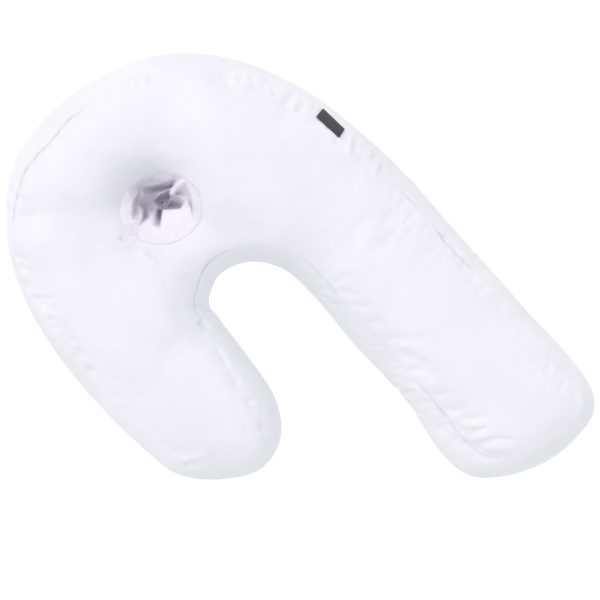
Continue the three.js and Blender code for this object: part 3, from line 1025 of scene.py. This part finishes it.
face_rim = rim_of(RING) + (0, 0, RIM_LIFT)
back_rim = rim_of(face_count + RING) - (0, 0, RIM_LIFT)
throat_plan = WELL_CENTRE + THROAT_PLACE + THROAT_SIZE * round_unit
rim_level = face_rim[:, 2].mean()
rings = []
for k in range(FACE_RINGS + 1):
    share = k / FACE_RINGS
    plan = face_rim[:, :2] * (1 - share) + throat_plan * share
    level = face_rim[:, 2] * (1 - share) + rim_level * share
    rings.append(np.column_stack([plan, level - facet_height(plan - WELL_CENTRE)]))
for k in range(1, THROAT_RINGS + 1):
    share = k / THROAT_RINGS
    level = rim_level - THROAT_DEPTH[0] * (1 - share) - THROAT_DEPTH[1] * share
    plan = throat_plan + THROAT_SLANT * share
    rings.append(np.column_stack([plan, np.full(LINING_AROUND, level)]))
throat_plan = throat_plan + THROAT_SLANT
throat_level = rings[-1][:, 2].mean()
for k in range(1, BACK_RINGS + 1):
    share = k / BACK_RINGS
    spread = share**BACK_SPREAD
    fold = np.zeros(LINING_AROUND)
    for at, wide, deep in BACK_FOLDS:
        off = (np.degrees(turn) - at + 540) % 360 - 180
        fold += deep * np.exp(-((off / wide) ** 2))
    plan = throat_plan * (1 - spread) + back_rim[:, :2] * spread
    # A fold lifts the cloth towards the middle of the pillow and narrows it.
    squeeze = fold * (1 - share) ** FOLD_GONE * min(1, FOLD_STARTS * share)
    centre = WELL_CENTRE + (THROAT_PLACE + THROAT_SLANT) * (1 - share)
    plan = centre + (plan - centre) * (1 - squeeze[:, None])
    fall = share**BACK_DROP
    rings.append(np.column_stack([plan, throat_level * (1 - fall) + back_rim[:, 2] * fall]))
print("lining rings:", len(rings), "throat at", round(float(throat_level)), "mm")


# %% The lining's mesh
def cloth_area(points, triangles):
    """Area of a cloth's triangles, in square millimetres."""
    a, b, c = (points[triangles[:, k]] for k in range(3))
    return np.linalg.norm(np.cross(b - a, c - a), axis=1).sum() / 2


lining_points = np.vstack(rings)
lining_rings = [LINING_AROUND * k + np.arange(LINING_AROUND) for k in range(len(rings))]
lining_tri = np.vstack([strip(a, b) for a, b in zip(lining_rings, lining_rings[1:])])
held = np.concatenate([lining_rings[0], lining_rings[-1]])
crumple = np.array([noise.noise(tuple(p / CRUMPLE_SIZE)) for p in lining_points])
crumple[held] = 0
lining_points[:, 2] += CRUMPLE * crumple
lining_points = even_out(lining_points, lining_tri, 1, held=held)
lining = mesh_object("ear_well_lining_cloth", lining_points, lining_tri)
print("lining triangles:", len(lining_tri))
print("cloth in the lining:", round(cloth_area(lining_points, lining_tri)), "square mm")

# %% [markdown]
# ## The sewn-in tab
#
# A small tab of dark woven ribbon lies along the outer seam, most of it on the face panel and the
# rest over the edge of the side band. It is stiffer than the case, so it bridges the puckers under
# it instead of following them, and only bends gently over the pillow's edge. It carries no words.

# %% The place of the tab, and the case under it
TAB_CORNERS = np.array([(24.5, 185.0), (50.0, 159.6), (43.2, 148.4), (16.6, 173.4)])
TAB_THICK = 0.8
TAB_STEPS = (40, 16)
TAB_ROUND = 0.8  # radius of its corners
TAB_LIFT = 0.5  # how far it lies above what it rests on
TAB_RISE = 0.6  # share of the height of the highest pucker under it that lifts the whole tab
TAB_CLEAR = 0.3  # it nowhere comes nearer to the case than this

case_tree = BVHTree.FromPolygons((shaped * MM).tolist(), case_tri.tolist())


def height_over(plan):
    """Height of the case's upper side at places in plan, in millimetres."""
    found = []
    for x, y in plan:
        hit = case_tree.ray_cast((x * MM, y * MM, 1.0), (0, 0, -1))[0]
        found.append(hit[2] / MM if hit else 0.0)
    return np.array(found)


# %% The outline of the tab
steps = [np.linspace(0, 1, count + 1) for count in TAB_STEPS]
along, across = np.meshgrid(*steps, indexing="ij")
long_side = np.linalg.norm(TAB_CORNERS[1] - TAB_CORNERS[0])
short_side = np.linalg.norm(TAB_CORNERS[3] - TAB_CORNERS[0])
# Near a corner the grid is drawn in, so that the corner is round.
from_end = np.minimum(along, 1 - along) * long_side
from_side = np.minimum(across, 1 - across) * short_side
reach = np.maximum(TAB_ROUND - from_side, 0)
pull = TAB_ROUND - np.sqrt(np.maximum(TAB_ROUND**2 - reach**2, 0))
pull *= np.maximum(0, 1 - from_end / (3 * TAB_ROUND))
along = along + np.where(along < 0.5, 1, -1) * pull / long_side
first_pair = [(1 - along) * (1 - across), along * (1 - across)]
second_pair = [along * across, (1 - along) * across]
corner_shares = np.stack(first_pair + second_pair, -1)
tab_plan = corner_shares.reshape(-1, 4) @ TAB_CORNERS
tab_under = height_over(tab_plan).reshape(along.shape)

# %% The bend of the tab
# Stiff cloth takes the broad bend of what it lies on: a quadratic surface fitted through it.
a, b = (v.ravel() * 2 - 1 for v in (along, across))
terms = np.column_stack([np.ones_like(a), a, b, a * a, a * b, b * b])
bend = terms @ np.linalg.lstsq(terms, tab_under.ravel(), rcond=None)[0]
bend = bend.reshape(tab_under.shape)
lift = TAB_LIFT - (bend - tab_under).min() * TAB_RISE
tab_height = np.maximum(bend + lift, tab_under + TAB_CLEAR)
tab_points = np.column_stack([tab_plan, tab_height.ravel()])
number = np.arange(len(tab_points)).reshape(tab_under.shape)
quads = np.stack([number[:-1, :-1], number[:-1, 1:], number[1:, 1:], number[1:, :-1]], -1)
quads = quads.reshape(-1, 4)
tab_tri = np.vstack([quads[:, [0, 1, 2]], quads[:, [0, 2, 3]]])
p0, p1, p2 = (tab_points[tab_tri[0, k]] for k in range(3))
if np.cross(p1 - p0, p2 - p0)[2] < 0:
    tab_tri = tab_tri[:, ::-1]
tab = mesh_object("sewn_in_tab", tab_points, tab_tri)
print("tab:", round(long_side, 1), "by", round(short_side, 1), "mm")
print("tab stands", np.round(tab_height.min(), 1), "to", np.round(tab_height.max(), 1), "mm high")

# %% [markdown]
# ## Stitches
#
# A lockstitch seam shows as a row of short threads that dip into the cloth at every needle hole.
# Geometry Nodes lay them: the seam's own points become a curve, the curve is cut into equal
# steps, and one small rounded thread is set on each step, turned along the seam. The random
# turn has a fixed seed. The result is made a plain mesh, because the modifier is only a tool.

# %% A small helper that adds a node
def feed(tree, node, inputs):
    """Feeds a node. inputs maps a socket's name or number to a value or to another socket."""
    for name, value in inputs.items():
        if isinstance(value, bpy.types.NodeSocket):
            tree.links.new(value, node.inputs[name])
        else:
            node.inputs[name].default_value = value


def add(tree, kind, inputs=None, **settings):
    """Adds a node with its settings and feeds it."""
    made = tree.nodes.new(kind)
    for name, value in settings.items():
        setattr(made, name, value)
    feed(tree, made, inputs or {})
    return made


# %% The tree that lays a row of stitches
STITCH_PITCH = 3.6
STITCH_LENGTH = 2.7
STITCH_THICK = 0.55
STITCH_WANDER = 0.12  # slope by which a stitch may turn off the line of the seam
BEAD_SIDES = 8
BEAD_RINGS = 6

stitch_tree = bpy.data.node_groups.new("lay_stitches", "GeometryNodeTree")
for name, kind, value in (
    ("Seam", "NodeSocketGeometry", None),
    ("Pitch", "NodeSocketFloat", STITCH_PITCH * MM),
    ("Length", "NodeSocketFloat", STITCH_LENGTH * MM),
    ("Thickness", "NodeSocketFloat", STITCH_THICK * MM),
    ("Wander", "NodeSocketFloat", STITCH_WANDER),
    ("Thread", "NodeSocketMaterial", None),
):
    socket = stitch_tree.interface.new_socket(name, in_out="INPUT", socket_type=kind)
    if value is not None:
        socket.default_value = value
stitch_tree.interface.new_socket("Stitches", in_out="OUTPUT", socket_type="NodeSocketGeometry")
given = add(stitch_tree, "NodeGroupInput").outputs
line = add(stitch_tree, "GeometryNodeMeshToCurve", {"Mesh": given["Seam"]})
even = add(
    stitch_tree,
    "GeometryNodeResampleCurve",
    {"Curve": line.outputs["Curve"], "Length": given["Pitch"]},
    mode="LENGTH",
)
heading = add(stitch_tree, "GeometryNodeInputTangent")
wander = add(
    stitch_tree,
    "FunctionNodeRandomValue",
    {"Min": (-1, -1, -1), "Max": (1, 1, 1), "Seed": 7},
    data_type="FLOAT_VECTOR",
)
stray = add(
    stitch_tree,
    "ShaderNodeVectorMath",
    {0: wander.outputs["Value"], "Scale": given["Wander"]},
    operation="SCALE",
)
turned = add(
    stitch_tree,
    "ShaderNodeVectorMath",
    {0: heading.outputs["Tangent"], 1: stray.outputs["Vector"]},
    operation="ADD",
)
aimed = add(
    stitch_tree,
    "FunctionNodeAlignEulerToVector",
    {"Vector": turned.outputs["Vector"]},
    axis="X",
)
bead = add(
    stitch_tree,
    "GeometryNodeMeshUVSphere",
    {"Segments": BEAD_SIDES, "Rings": BEAD_RINGS, "Radius": 0.5},
)
size = add(
    stitch_tree,
    "ShaderNodeCombineXYZ",
    {"X": given["Length"], "Y": given["Thickness"], "Z": given["Thickness"]},
)
laid_on = add(
    stitch_tree,
    "GeometryNodeInstanceOnPoints",
    {
        "Points": even.outputs["Curve"],
        "Instance": bead.outputs["Mesh"],
        "Rotation": aimed.outputs["Rotation"],
        "Scale": size.outputs["Vector"],
    },
)
real = add(stitch_tree, "GeometryNodeRealizeInstances", {"Geometry": laid_on.outputs["Instances"]})
dressed = add(
    stitch_tree,
    "GeometryNodeSetMaterial",
    {"Geometry": real.outputs["Geometry"], "Material": given["Thread"]},
)
add(stitch_tree, "NodeGroupOutput", {"Stitches": dressed.outputs["Geometry"]})


# %% [markdown]
# ## Materials
#
# The case and the lining are white cotton percale: a plain weave of fine matt yarn, pressed
# smooth, that gives a soft even white with a faint cool cast and almost no shine. The yarns lie
# 0.3 mm apart, which is too fine to show, so the weave is drawn four times coarser and very
# shallow. What the eye does see is the soft crumple of the cloth, a few millimetres across, so
# that is a second bump. The weave follows the flat pattern through the UV map, as real yarn does.

# %% Colours, textures and bumps
WAVE_TURNS = 0.314  # a Wave texture's bands lie this far apart at scale 1


def linear(colour):
    """An sRGB hex colour as linear red, green, blue and alpha."""
    parts = [int(colour[k : k + 2], 16) / 255 for k in (1, 3, 5)]
    return (*[c / 12.92 if c <= 0.04045 else ((c + 0.055) / 1.055) ** 2.4 for c in parts], 1.0)


def clouds(tree, place, scale, detail, roughness=0.5):
    """Soft noise from 0 to 1."""
    inputs = {"Vector": place, "Scale": scale, "Detail": detail, "Roughness": roughness}
    return add(tree, "ShaderNodeTexNoise", inputs).outputs["Fac"]


def ridges(tree, place, pitch, way, distortion=0.0):
    """Even ridges across a direction, a pitch apart, from 0 to 1."""
    inputs = {"Vector": place, "Scale": WAVE_TURNS / pitch, "Distortion": distortion}
    return add(tree, "ShaderNodeTexWave", inputs, bands_direction=way).outputs["Fac"]


def bump(tree, height, strength, distance, under=None):
    """A bump, on top of another one if that is given."""
    node = add(tree, "ShaderNodeBump", {"Height": height, "Strength": strength, "Distance": distance})
    if under:
        feed(tree, node, {"Normal": under})
    return node.outputs["Normal"]


def two_tones(tree, share, low, high, ends=(0.0, 1.0)):
    """Runs from the colour low to the colour high while share goes from one end to the other."""
    ramp = add(tree, "ShaderNodeValToRGB", {"Fac": share})
    for stop, colour, at in zip(ramp.color_ramp.elements, (low, high), ends):
        stop.position = at
        stop.color = linear(colour)
    return ramp.outputs["Color"]


def new_material(name):
    """A material with an empty Principled shader. Returns the material, its tree and the shader."""
    made = bpy.data.materials.new(name)
    made.use_nodes = True
    return made, made.node_tree, made.node_tree.nodes["Principled BSDF"]


# %% White cotton percale
WEAVE_DRAWN = 1.2 * MM  # four times the real pitch of the yarns
TONE_ENDS = (0.35, 0.65)  # where in the slow noise the two tones are pure


def percale(name, white, shade, crumple, painted_shade_at, painted_shade_colour):
    """Cotton in the tones white and shade, and painted shade where the named attribute is 1."""
    material, tree, shader = new_material(name)
    place = add(tree, "ShaderNodeTexCoord").outputs
    tone = clouds(tree, place["Object"], scale=14.0, detail=3.0)
    tones = two_tones(tree, tone, shade, white, TONE_ENDS)
    shaded = add(tree, "ShaderNodeAttribute", attribute_name=painted_shade_at)
    mixed = add(tree, "ShaderNodeMixRGB", {0: shaded.outputs["Fac"], 1: tones, 2: linear(painted_shade_colour)})
    soft = clouds(tree, place["Object"], scale=90.0, detail=3.0, roughness=0.55)
    broad = bump(tree, soft, strength=crumple, distance=0.0022)
    yarns = [ridges(tree, place["UV"], WEAVE_DRAWN, way) for way in ("X", "Y")]
    weave = add(tree, "ShaderNodeMath", {0: yarns[0], 1: yarns[1]}, operation="MAXIMUM")
    fine = bump(tree, weave.outputs["Value"], strength=0.12, distance=0.0003, under=broad)
    cotton = {"Roughness": 0.78, "Specular IOR Level": 0.3, "Sheen Weight": 0.12, "Sheen Roughness": 0.5}
    feed(tree, shader, cotton)
    feed(tree, shader, {"Base Color": mixed.outputs["Color"], "Normal": fine})
    return material


# The needle line lies in the shade of the two turned edges, so it is drawn greyer. So are the
# deepest folds of the well, where light arrives only after several bounces off lilac-white cloth.
# Laundered white cotton sends back about five sixths of the light, which is what these whites are.
case_cloth = percale("white_cotton_percale", "#ececf1", "#e8e8ed", 0.3, "seam_line", "#8f8f9e")
lining_cloth = percale("white_cotton_lining", "#ecebf2", "#e5e3ec", 0.2, "well_depth", "#b1aebc")

# %% Charcoal ribbon
# Polyester ribbon woven with fine cross ribs. It is nearly black and a little satiny.
RIB_DRAWN = 1.1 * MM  # the real ribs lie 0.4 mm apart

ribbon, tree, shader = new_material("charcoal_woven_ribbon")
place = add(tree, "ShaderNodeTexCoord").outputs
rib = ridges(tree, place["UV"], RIB_DRAWN, "X", distortion=0.4)
tones = two_tones(tree, rib, "#36363b", "#45454b")
ribs = bump(tree, rib, strength=0.4, distance=0.0003)
feed(tree, shader, {"Base Color": tones, "Normal": ribs})
feed(tree, shader, {"Roughness": 0.6, "Specular IOR Level": 0.35})

# %% Sewing thread
# Spun polyester thread: white, twisted, matt. It looks greyer than the cloth, because it lies
# in the seam's own shade and is too thin to catch the light.
thread, tree, shader = new_material("white_spun_thread")
place = add(tree, "ShaderNodeTexCoord").outputs
twist = clouds(tree, place["Object"], scale=1500.0, detail=2.0)
tones = two_tones(tree, twist, "#c9c9d4", "#e4e4ec")
feed(tree, shader, {"Base Color": tones, "Roughness": 0.8})
print("materials:", [m.name for m in bpy.data.materials])

# %% [markdown]
# ## Dress the pieces
#
# The UV map of the case is its flat pattern in metres, so the weave runs true on each panel and
# breaks at the seams. Two attributes from 0 to 1 say where shade is painted into the cloth's
# colour: "seam_line" along a strained needle line, and "well_depth" deep in the well.

# %% Helpers for maps, attributes and shading
def set_uv(piece, corner_uv):
    """Gives a mesh a UV map from one place for each corner, in metres."""
    layer = piece.data.uv_layers.new(name="cloth")
    layer.data.foreach_set("uv", np.asarray(corner_uv, float).ravel())


def close_round(corner_uv, once_round):
    """Where a map's last column joins its first, takes the first one once more round."""
    wraps = np.ptp(corner_uv[:, :, 0], axis=1) > once_round / 2
    corner_uv[wraps] += np.where(corner_uv[wraps][:, :, :1] < once_round / 2, [once_round, 0], 0)
    return corner_uv


def set_attribute(piece, name, values):
    """Gives a mesh a number for each point."""
    layer = piece.data.attributes.new(name, "FLOAT", "POINT")
    layer.data.foreach_set("value", values)


def smooth(piece):
    """Shades a mesh smoothly."""
    piece.data.polygons.foreach_set("use_smooth", [True] * len(piece.data.polygons))
    piece.data.update()


# %% The case's map and seam line
SEAM_SHADE = 0.24  # how dark a strained needle line is, from 0 to 1
SEAM_SHADE_UNEVEN = 1.4

corner_uv = flat_points[:, :2][case_tri]
run = np.arange(RING) * SEAM_STEP
band_uv = np.zeros((len(shaped), 2))
for k, row in enumerate(band_rings):
    band_uv[row] = np.column_stack([run, np.full(RING, k * BAND_WIDTH / (len(band_rings) - 1))])
on_band = part_of == BAND
corner_uv[on_band] = close_round(band_uv[case_tri[on_band]], RING * SEAM_STEP)
set_uv(case, corner_uv.reshape(-1, 2) * MM)
# The seam_line attribute is painted shade: a strained needle line is drawn greyer, as the shade between
# its turned edges.
seam_line = np.zeros(len(shaped))
seam_line[seam_rows] = SEAM_SHADE * strain_at(shaped[seam_rows])
seam_line[seam_rows] *= 1 + SEAM_SHADE_UNEVEN * uneven[seam_rows]
set_attribute(case, "seam_line", np.clip(seam_line, 0, 1))
case.data.materials.append(case_cloth)
smooth(case)

# %% The lining's map and how deep in the well it lies
LINING_STEP = 1.2  # spacing of its points along the cloth
DARK_FROM = 7.0  # how far below the rim the darkening starts,
DARK_OVER = 28.0  # and over what depth it grows

lining_turns = np.arange(len(lining_points)) % LINING_AROUND
lining_rows = np.arange(len(lining_points)) // LINING_AROUND
lining_uv = np.column_stack([lining_turns * LINING_STEP, lining_rows * LINING_STEP])[lining_tri]
lining_uv = close_round(lining_uv, LINING_AROUND * LINING_STEP)
set_uv(lining, lining_uv.reshape(-1, 2) * MM)
# The well_depth attribute is painted shade: the deeper the lining lies, the greyer it is drawn.
above_back = lining_points[:, 2] - back_rim[:, 2].mean()
below_rim = np.minimum(rim_level - lining_points[:, 2], above_back)
well_depth = np.clip((below_rim - DARK_FROM) / DARK_OVER, 0, 1)
well_depth = well_depth**2 * (3 - 2 * well_depth)
set_attribute(lining, "well_depth", well_depth)
lining.data.materials.append(lining_cloth)
smooth(lining)

# %% The tab's map
tab_uv = np.column_stack([along.ravel() * long_side, across.ravel() * short_side])
set_uv(tab, tab_uv[tab_tri].reshape(-1, 2) * MM)
tab.data.materials.append(ribbon)
smooth(tab)
print("maps:", [piece.data.uv_layers[0].name for piece in (case, lining, tab)])

# %% Give the lining and the tab their thickness
LINING_THICK = 0.5

for piece, thick_mm in ((lining, LINING_THICK), (tab, TAB_THICK)):
    wall = piece.modifiers.new("thickness", "SOLIDIFY")
    wall.thickness = thick_mm * MM
    wall.offset = 1.0 if piece is tab else -1.0
    wall.use_even_offset = False
print("cloth thickness:", LINING_THICK, "mm, ribbon:", TAB_THICK, "mm")

# %% Lay the stitches
STITCH_LIFT = 0.2  # how far a stitch stands out of the bottom of the groove
OPEN_ENOUGH = 0.4  # the strain from which a seam shows its stitches
OPEN_UNEVEN = 0.8  # how much that varies along the seam


def opened_runs(row):
    """A seam's points, and the edges between those where it is strained open."""
    open_here = strain_at(shaped[row]) * (1 + OPEN_UNEVEN * uneven[row]) > OPEN_ENOUGH
    edges = [(k, (k + 1) % RING) for k in range(RING)]
    edges = [(a, b) for a, b in edges if open_here[a] and open_here[b]]
    return shaped[row] + STITCH_LIFT * out[row], edges


def stitch_row(name, points, edges=None):
    """Stitches along a line of points, in millimetres, as a plain mesh. It closes if no edges
    are given."""
    count = len(points)
    mesh = bpy.data.meshes.new(name + "_line")
    edges = edges or [(k, (k + 1) % count) for k in range(count)]
    mesh.from_pydata((points * MM).tolist(), edges, [])
    guide = new_object(name + "_line", mesh)
    modifier = guide.modifiers.new("stitches", "NODES")
    modifier.node_group = stitch_tree
    inputs = {item.name: item.identifier for item in stitch_tree.interface.items_tree}
    modifier[inputs["Pitch"]] = STITCH_PITCH * MM
    modifier[inputs["Length"]] = STITCH_LENGTH * MM
    modifier[inputs["Thickness"]] = STITCH_THICK * MM
    modifier[inputs["Thread"]] = thread
    graph = bpy.context.evaluated_depsgraph_get()
    made = bpy.data.meshes.new_from_object(guide.evaluated_get(graph), depsgraph=graph)
    bpy.data.objects.remove(guide)
    made.name = name
    row = new_object(name, made)
    smooth(row)
    stitches = len(made.vertices) // (BEAD_SIDES * (BEAD_RINGS - 1) + 2)
    print(name, "stitches:", stitches, "faces:", len(made.polygons))
    return row


out = outward(1)
stitch_rows = [
    stitch_row("face_seam_stitches", *opened_runs(ring)),
    stitch_row("back_seam_stitches", *opened_runs(band_rings[-1])),
    stitch_row("well_rim_stitches", face_rim + (0, 0, STITCH_LIFT)),
    stitch_row("well_back_rim_stitches", back_rim - (0, 0, STITCH_LIFT)),
]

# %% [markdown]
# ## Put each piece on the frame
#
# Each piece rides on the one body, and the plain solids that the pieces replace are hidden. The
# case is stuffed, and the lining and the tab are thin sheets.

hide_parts("pillow")
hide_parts("ear_well_lining")
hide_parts("label")
for piece in (case, lining, tab, *stitch_rows):
    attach(piece, "root")

# %% [markdown]
# ## Floor, light and camera
#
# The pillow lies on a white sweep. The floor glows, as a lit acrylic table does, so that hardly any
# shadow shows on it and the lower half of the side band gets light from below.
#
# The room round it is a light tent: the world lights the pillow evenly from all sides. A wide
# bank straight overhead lifts the flat of the face panel above the side band. The key is narrower
# and comes from the upper left, which gives the low relief of the puckers one bright side and one
# grey side. The two banks are suns, because a sun lights a whole object evenly, as a large bank
# far away does.

# %% Floor
FLOOR_HALF = 6.0  # half of its side, in metres

floor_mesh = bpy.data.meshes.new("studio_floor")
floor_corners = [(x * FLOOR_HALF, y * FLOOR_HALF, 0) for x, y in ((-1, -1), (1, -1), (1, 1), (-1, 1))]
floor_mesh.from_pydata(floor_corners, [], [(0, 1, 2, 3)])
floor = new_object("studio_floor", floor_mesh)
white_floor, tree, shader = new_material("white_acrylic_sweep")
feed(tree, shader, {"Base Color": linear("#8a8a8c"), "Roughness": 0.6, "Specular IOR Level": 0.1})
feed(tree, shader, {"Emission Color": linear("#ffffff"), "Emission Strength": 0.82})
floor_mesh.materials.append(white_floor)

# %% Lights
scene = bpy.context.scene
world = bpy.data.worlds.new("soft_studio")
scene.world = world
world.use_nodes = True
tent = world.node_tree.nodes["Background"]
feed(world.node_tree, tent, {"Color": linear("#f5f8f6"), "Strength": 0.8})


def soft_sun(name, energy, spread, tilt):
    """A wide far light. tilt turns it from straight down, in degrees about x and y."""
    lamp = bpy.data.lights.new(name, "SUN")
    lamp.energy = energy
    lamp.angle = math.radians(spread)
    lamp.color = linear("#fff5ff")[:3]
    new_object(name, lamp).rotation_euler = (math.radians(tilt[0]), math.radians(tilt[1]), 0)
    print(name, "energy:", energy, "spread:", spread, "degrees")


soft_sun("overhead_bank", 0.66, 50, (0, 0))
soft_sun("key", 0.72, 24, (-31, -33))

# %% Camera
# A portrait lens on a stand, square to the face panel. In metres: far enough for the whole
# pillow, and a little below its middle, so that the empty floor below the legs is in view.
CAMERA_PLACE = (-0.0024, -0.0408, 2.077)

camera = bpy.data.cameras.new("camera")
camera.lens = 100
camera.sensor_width = 36
scene.camera = new_object("camera", camera)
scene.camera.location = CAMERA_PLACE
scene.view_settings.view_transform = "Standard"
print("camera stands", CAMERA_PLACE[2], "m above the floor")
